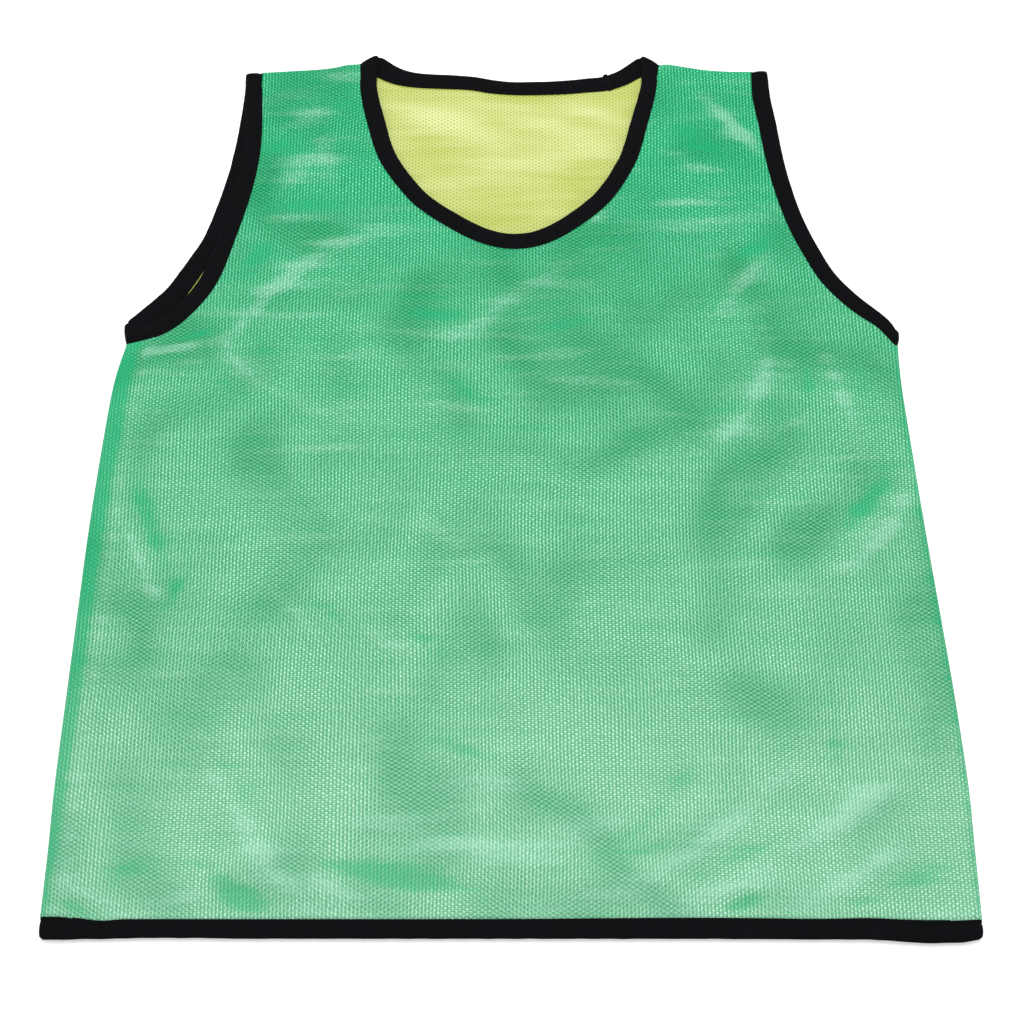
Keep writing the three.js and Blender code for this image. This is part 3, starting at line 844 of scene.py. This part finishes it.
hemStations = tapeStations(
    hemEdge, hemEdge, "hemLeft", "hemRight", -1, tapeWidths["hem"], tapeWidths["hem"])
neckTape = tapePiece("neck_tape", neckStations)
leftTape = tapePiece("left_armhole_tape", leftStations)
rightTape = tapePiece("right_armhole_tape", rightStations)
hemTape = tapePiece("hem_tape", hemStations, hemFold)

# Stitches along the grooves of the tapes. One is modelled and copied, and a tape's stitches are one piece.
stitch = {"long": 2.3, "wide": 0.55, "thick": 0.5, "pitch": 3.2, "lean": 0.12}
grooveHeight = form["tapeThickness"] / 2 * (1 - tape["groove"])
stitchLevels = {
    # turned, height
    "frontUp": (0, tapeMiddle + turnRadius + grooveHeight),
    "backUp": (180, tapeMiddle - turnRadius + grooveHeight),
    "backDown": (180, tapeMiddle - turnRadius - grooveHeight + stitch["thick"] / 4),
}


def stitchPiece(name, stations, *levels):
    bpy.ops.object.select_all(action="DESELECT")
    bpy.ops.mesh.primitive_uv_sphere_add(segments=8, ring_count=5, radius=mm / 2)
    model = bpy.context.object
    model.scale = (stitch["long"], stitch["wide"], stitch["thick"])
    bpy.ops.object.transform_apply(location=False, rotation=False, scale=True)
    dice = random.Random(name)
    copies = []
    for turned, height in (stitchLevels[level] for level in levels):
        run = stations[stations[:, 7] == turned]
        line = run[:, :2] + run[:, 2:4] * tape["grooveAt"]
        length = np.linalg.norm(np.diff(line, axis=0), axis=1).sum()
        line = curveThrough(line, round(length / stitch["pitch"]))
        for start, end in zip(line, line[1:]):
            copied = model.copy()
            copied.data = model.data.copy()
            copied.location = (*(start + end) / 2 * mm, height * mm)
            copied.rotation_euler.z = math.atan2(*(end - start)[::-1]) + dice.gauss(0, stitch["lean"])
            bpy.context.collection.objects.link(copied)
            copies.append(copied)
    bpy.data.objects.remove(model)
    selectOnly(*copies)
    bpy.ops.object.join()
    piece = bpy.context.object
    bpy.ops.object.transform_apply(location=True, rotation=True, scale=True)
    bpy.ops.object.shade_smooth()
    piece.name = piece.data.name = name
    print("stitches:", name, len(copies))
    return piece


stitches = [
    stitchPiece("neck_stitches", neckStations, "frontUp", "backUp", "backDown"),
    stitchPiece("left_armhole_stitches", leftStations, "frontUp", "backUp", "backDown"),
    stitchPiece("right_armhole_stitches", rightStations, "frontUp", "backDown"),
    stitchPiece("hem_stitches", hemStations, "frontUp", "backDown"),
]

# The end of the neck tape, turned in and lapped over its start on the back of the neck.
lap = {"place": (73.2, 319.8), "turned": 16, "long": 3.4, "wide": 15, "thick": 3.1, "rounding": 0.4}


def tapeLap():
    bpy.ops.object.select_all(action="DESELECT")
    bpy.ops.mesh.primitive_cube_add(size=mm, location=(0, 0, lap["thick"] / 2 * mm))
    piece = bpy.context.object
    piece.name = piece.data.name = "neck_tape_lap"
    piece.scale = (lap["long"], lap["wide"], lap["thick"])
    piece.rotation_euler.z = math.radians(lap["turned"])
    piece.location.xy = [place * mm for place in lap["place"]]
    bpy.ops.object.transform_apply(location=True, rotation=True, scale=True)
    inEditMode(
        piece,
        lambda: bpy.ops.mesh.bevel(offset=lap["rounding"] * mm, segments=3, affect="EDGES"),
        lambda: bpy.ops.mesh.select_all(action="SELECT"),
        lambda: bpy.ops.mesh.subdivide(number_cuts=2),
        lambda: bpy.ops.mesh.vertices_smooth(factor=0.3),
    )
    bpy.ops.object.shade_smooth()
    return piece


neckLap = tapeLap()


# Materials. Sums of sockets become Math nodes, and every other node comes from finish.node.
class Wire:
    def __init__(self, finish, socket):
        self.finish, self.socket = finish, socket

    def maths(self, operation, *values):
        return self.finish.node("ShaderNodeMath", {"operation": operation}, dict(enumerate(values)))

    def __add__(self, other):
        return self.maths("ADD", self, other)

    def __sub__(self, other):
        return self.maths("SUBTRACT", self, other)

    def __rsub__(self, other):
        return self.maths("SUBTRACT", other, self)

    def __mul__(self, other):
        return self.maths("MULTIPLY", self, other)

    def __truediv__(self, other):
        return self.maths("DIVIDE", self, other)

    def __pow__(self, other):
        return self.maths("POWER", self, other)

    def fraction(self):
        return self.maths("FRACT", self)

    def sine(self):
        return self.maths("SINE", self)

    def smaller(self, other):
        return self.maths("MINIMUM", self, other)

    def larger(self, other):
        return self.maths("MAXIMUM", self, other)

    def between(self, low, high, first=0.0, last=1.0):  # smoothly from first at low to last at high
        settings = {"interpolation_type": "SMOOTHSTEP", "clamp": True}
        return self.finish.node("ShaderNodeMapRange", settings, {0: self, 1: low, 2: high, 3: first, 4: last})


class Finish:
    def __init__(self, name, **constants):
        self.material = bpy.data.materials.new(name)
        self.material.use_nodes = True
        self.tree = self.material.node_tree
        self.shader = self.tree.nodes["Principled BSDF"]
        for socket, value in constants.items():
            self.shader.inputs[socket.replace("_", " ")].default_value = value

    def feed(self, socket, value):
        if isinstance(value, Wire):
            self.tree.links.new(value.socket, socket)
        else:
            socket.default_value = value

    def node(self, kind, settings, inputs, output=0):
        made = self.tree.nodes.new(kind)
        for key, value in settings.items():
            setattr(made, key, value)
        for key, value in inputs.items():
            self.feed(made.inputs[key], value)
        return Wire(self, made.outputs[output])

    def mix(self, first, second, share, way="MIX"):
        settings = {"data_type": "RGBA", "blend_type": way}
        return self.node("ShaderNodeMix", settings, {6: first, 7: second, 0: share}, 2)

    def noise(self, place, scale, detail=2.0, roughness=0.5):
        inputs = {"Vector": place, "Scale": scale, "Detail": detail, "Roughness": roughness}
        return self.node("ShaderNodeTexNoise", {}, inputs)

    def bump(self, height, distance, strength=1.0):
        inputs = {"Height": height, "Distance": distance, "Strength": strength}
        self.feed(self.shader.inputs["Normal"], self.node("ShaderNodeBump", {}, inputs))

    def paint(self, socket, value):
        self.feed(self.shader.inputs[socket], value)

    def clothPlace(self):  # place on the flat cloth, and its two parts in millimetres
        place = self.node("ShaderNodeUVMap", {"uv_map": "cloth"}, {})
        parts = [self.node("ShaderNodeSeparateXYZ", {}, {0: place}, part) for part in (0, 1)]
        return place, parts[0] * 1000, parts[1] * 1000


def colour(red, green, blue):  # from screen values
    channels = [value / 255 for value in (red, green, blue)]
    linear = [c / 12.92 if c <= 0.04045 else ((c + 0.055) / 1.055) ** 2.4 for c in channels]
    return (*linear, 1.0)


def eyelets(u, v, across, up, radius, soft):  # 1 in the holes of a staggered net, 0 on its threads
    def offCentre(value, pitch):
        return ((value / pitch).fraction() - 0.5) * pitch

    def away(shiftU, shiftV):
        return offCentre(u + shiftU, across) ** 2 + offCentre(v + shiftV, up) ** 2

    fromHole = away(0, 0).smaller(away(across / 2, up / 2)) ** 0.5
    return fromHole.between(radius - soft, radius + soft, 1.0, 0.0)


greenMesh = {
    "roughness": 0.55,
    "gloss": 0.14,
    "across": 4.8,  # from hole to hole along a row
    "up": 3.0,  # from hole to hole in a column; every other column is half a step up
    "hole": 0.8,
    "soft": 0.26,
    "loopHighlightSize": 0.6,
    "wander": 9,  # of the rows of holes
    "jitter": 1.3,  # of single holes
    "ribs": 2.4,
    "liningHole": 1.1,
    "liningSoft": 0.45,
    "liningScale": (1.006, 0.994),  # the lining's net is a little off the outer one, hence the moire
    "thread": (88, 166, 122),
    # The ridge colour is painted sheen and the trough colour painted shade.
    "ridge": (178, 226, 202),
    "trough": (4, 160, 104),
    # a hole through both layers, painted with the shade inside the bib
    "shadedHole": (26, 132, 92),
    "dot": (206, 252, 222),  # a painted highlight on a loop, or a hole with the yellow behind it
    # The dots and the tint that deepen the colour towards the top, where the painted sheen fades.
    "sheenFadeDot": (108, 226, 178),
    "sheenFadeTint": (20, 222, 190),
    "lower": -250,  # from here the painted sheen fades and the colour deepens
    "upper": 240,  # and here the painted sheen is gone and the colour deepest
    # painted sheen over the lower part, paler towards the hem
    "hemSheenShare": 0.1,
}


def rippled(finish, place):  # fine wrinkles that run across the cloth, from -0.5 to 0.5
    stretched = finish.node("ShaderNodeVectorMath", {"operation": "MULTIPLY"}, {0: place, 1: (0.14, 1, 1)})
    return finish.noise(stretched, 100.0, 2.0, 0.5).between(0.3, 0.7) - 0.5


def shadingAttribute(finish):  # the painted sheen and shade stored on the cloth
    return finish.node("ShaderNodeAttribute", {"attribute_name": "creaseShading"}, {}, 2)


def greenFinish():
    cloth = greenMesh
    finish = Finish("green_mesh", Roughness=cloth["roughness"], Specular_IOR_Level=cloth["gloss"])
    place, u, v = finish.clothPlace()
    # Painted sheen fading up the cloth: paler below, deeper and more saturated at the top.
    sheenFade = (v - cloth["lower"]) / (cloth["upper"] - cloth["lower"])
    sheenFade = sheenFade.larger(0).smaller(1)
    ripples = rippled(finish, place)
    speckle = finish.noise(place, 420.0, 2.0, 0.6).between(0.3, 0.7)
    # Painted sheen on ridges and painted shade in troughs, from the stored shading and the fine ripples.
    sheenAndShade = (shadingAttribute(finish) + ripples * 0.65) * (speckle * 0.7 + 0.65)
    # Painted sheen: paler towards the hem.
    hemSheen = (0 - v).between(90, 330) * cloth["hemSheenShare"]
    u = u + finish.noise(place, 5.0, 1.0) * cloth["wander"]
    v = v + finish.noise(place, 6.0, 1.0) * cloth["wander"]
    u = u + finish.noise(place, 330.0, 1.0) * cloth["jitter"]
    v = v + finish.noise(place, 310.0, 1.0) * cloth["jitter"]
    holes = eyelets(u, v, cloth["across"], cloth["up"], cloth["hole"], cloth["soft"])
    # Painted highlights on the loops between the holes.
    loops = eyelets(u, v + cloth["up"] / 2, cloth["across"], cloth["up"], cloth["loopHighlightSize"], cloth["soft"])
    scaleU, scaleV = cloth["liningScale"]
    lining = eyelets(
        u * scaleU + finish.noise(place, 9.0, 1.0) * 9, v * scaleV + finish.noise(place, 7.0, 1.0) * 8,
        cloth["across"], cloth["up"], cloth["liningHole"], cloth["liningSoft"],
    )
    ribs = (u * (2 * math.pi / cloth["ribs"])).sine() * 0.5 + 0.5
    # deep is the share of painted shade in troughs, where the dots fade, and pale the share of painted sheen
    # on ridges.
    deep, pale = (0 - sheenAndShade).between(0, 1.3), sheenAndShade.between(0, 1.3)
    # Painted shade in holes where the lining's holes lie behind them.
    knit = finish.mix(colour(*cloth["thread"]), colour(*cloth["shadedHole"]), holes * lining * 0.9)
    knit = finish.mix(knit, colour(*cloth["sheenFadeTint"]), sheenFade, "MULTIPLY")
    knit = finish.mix(knit, colour(*cloth["trough"]), deep * 0.8)
    dots = (holes * (1 - lining) + loops * 0.38) * (speckle * 0.5 + 0.65) * (1 - deep * 0.6)
    dotColour = finish.mix(colour(*cloth["dot"]), colour(*cloth["sheenFadeDot"]), sheenFade)
    knit = finish.mix(knit, dotColour, dots.smaller(1))
    finish.paint("Base Color", finish.mix(knit, colour(*cloth["ridge"]), pale * (dots * 0.3 + 0.28) + hemSheen))
    finish.paint("Roughness", cloth["roughness"] - sheenAndShade * 0.05)
    grain = finish.noise(place, 2600.0, 2.0)
    finish.bump(ribs * 0.04 - holes * 0.12 + grain * 0.05 + ripples * 0.5, 0.001, 0.8)
    return finish.material


yellowMesh = {
    "roughness": 0.42,
    "hole": 0.6,
    "soft": 0.3,
    "wander": 6,
    # The trough colour is painted shade and the ridge colour painted sheen.
    "trough": (164, 176, 36),
    "ridge": (207, 215, 139),
    # the holes are painted with the shade behind them
    "shadedHole": (120, 132, 30),
}


def yellowFinish():
    cloth = yellowMesh
    finish = Finish("yellow_mesh", Roughness=cloth["roughness"])
    place, u, v = finish.clothPlace()
    ripples = rippled(finish, place)
    sheenAndShade = shadingAttribute(finish) + ripples * 0.35 + finish.noise(place, 14.0, 1.0) - 0.5
    u = u + finish.noise(place, 6.0, 1.0) * cloth["wander"]
    v = v + finish.noise(place, 5.0, 1.0) * cloth["wander"]
    holes = eyelets(u, v, greenMesh["across"], greenMesh["up"], cloth["hole"], cloth["soft"])
    # Painted shade in troughs and painted sheen on ridges, with random tone.
    knit = finish.mix(colour(*cloth["trough"]), colour(*cloth["ridge"]), sheenAndShade.between(-0.8, 1.1))
    # Painted shade in the holes.
    finish.paint("Base Color", finish.mix(knit, colour(*cloth["shadedHole"]), holes * 0.6))
    finish.bump(0.0 - holes * 0.2 + finish.noise(place, 2600.0, 2.0) * 0.05 + ripples * 0.6, 0.001, 0.8)
    return finish.material


blackTape = {"ribs": 0.9, "loops": 1.1, "gloss": 0.06, "deep": (5, 5, 7), "pale": (16, 17, 21)}


def tapeFinish():
    finish = Finish("black_tape", Roughness=0.88, Specular_IOR_Level=blackTape["gloss"])
    place, u, v = finish.clothPlace()
    ribs = (v * (2 * math.pi / blackTape["ribs"])).sine() * 0.5 + 0.5
    loops = (u * (2 * math.pi / blackTape["loops"]) + ribs * 2).sine() * 0.5 + 0.5
    knit = ribs * 0.6 + loops * 0.4
    # Painted sheen: random lighter patches, which are also a little rougher.
    sheenPatches = finish.noise(place, 60.0, 4.0, 0.6).between(0.35, 0.7)
    deep, pale = colour(*blackTape["deep"]), colour(*blackTape["pale"])
    finish.paint("Base Color", finish.mix(deep, pale, knit * 0.5 + sheenPatches * 0.4))
    finish.paint("Roughness", sheenPatches * 0.12 + 0.8)
    finish.bump(knit + finish.noise(place, 2200.0, 2.0) * 0.4, 0.00018, 0.7)
    return finish.material


def threadFinish():
    finish = Finish("black_thread", Roughness=0.8, Specular_IOR_Level=blackTape["gloss"])
    place = finish.node("ShaderNodeTexCoord", {}, {}, 3)
    twist = finish.noise(place, 1800.0, 1.0)
    finish.paint("Base Color", finish.mix(colour(6, 6, 8), colour(20, 21, 25), twist))
    finish.bump(twist, 0.0001, 0.6)
    return finish.material


def floorFinish():
    finish = Finish("pale_floor", Roughness=0.75, Emission_Strength=0.3)  # a lit table
    place = finish.node("ShaderNodeTexCoord", {}, {}, 3)
    shade = finish.noise(place, 2.0, 2.0)
    finish.paint("Base Color", finish.mix(colour(246, 247, 250), colour(252, 252, 253), shade))
    return finish.material


def wear(piece, material, slot, *nodes):
    piece.data.materials.clear()
    piece.data.materials.append(material)
    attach(piece, "root")
    if nodes:
        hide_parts(*nodes)


green, yellow, black = greenFinish(), yellowFinish(), tapeFinish()
wear(frontGreen, green, "green_mesh", "front_outer")
wear(frontYellow, yellow, "yellow_mesh", "front_lining")
wear(backGreen, green, "green_mesh", "back_outer")
wear(backYellow, yellow, "yellow_mesh", "back_lining")
wear(neckTape, black, "black_tape", "neck_binding")
wear(leftTape, black, "black_tape", "left_armhole_binding")
wear(rightTape, black, "black_tape", "right_armhole_binding")
wear(hemTape, black, "black_tape", "hem_binding")
wear(neckLap, black, "black_tape")
thread = threadFinish()
for stitchRow in stitches:
    wear(stitchRow, thread, "black_tape")

# Floor, light and camera. Places and sizes are in metres, the lens and the sensor in millimetres.
studio = {
    "floorSize": 8,
    "floorHeight": -0.0002,
    "dome": 0.8,
    "camera": (0, -0.6676, 1.3425),
    "pitch": 25,  # from straight down
    "lens": 75,
    "sensor": 36,
    "lamps": [
        # place, size, watts; both are aimed at the origin
        ((0.1, 0.2, 2.1), 1.4, 17),
        ((-0.3, 1.6, 1.5), 1.2, 11),
    ],
}

bpy.ops.object.select_all(action="DESELECT")
bpy.ops.mesh.primitive_plane_add(size=studio["floorSize"], location=(0, 0, studio["floorHeight"]))
floor = bpy.context.object
floor.name = "floor"
bpy.ops.object.transform_apply(location=True, rotation=True, scale=True)
floor.data.materials.append(floorFinish())

for (x, y, z), size, watts in studio["lamps"]:
    bpy.ops.object.light_add(type="AREA", location=(x, y, z))
    lamp = bpy.context.object
    lamp.data.shape, lamp.data.size, lamp.data.energy = "DISK", size, watts
    lamp.rotation_euler = (math.atan2(math.hypot(x, y), z), 0, math.atan2(x, -y))

world = bpy.data.worlds.new("studio")
bpy.context.scene.world = world
world.use_nodes = True
sky = world.node_tree.nodes["Background"].inputs
sky["Color"].default_value = (1, 1, 1, 1)
sky["Strength"].default_value = studio["dome"]

bpy.ops.object.camera_add(location=studio["camera"], rotation=(math.radians(studio["pitch"]), 0, 0))
camera = bpy.context.object
camera.data.lens = studio["lens"]
camera.data.sensor_width = studio["sensor"]
bpy.context.scene.camera = camera
bpy.context.scene.view_settings.view_transform = "Standard"
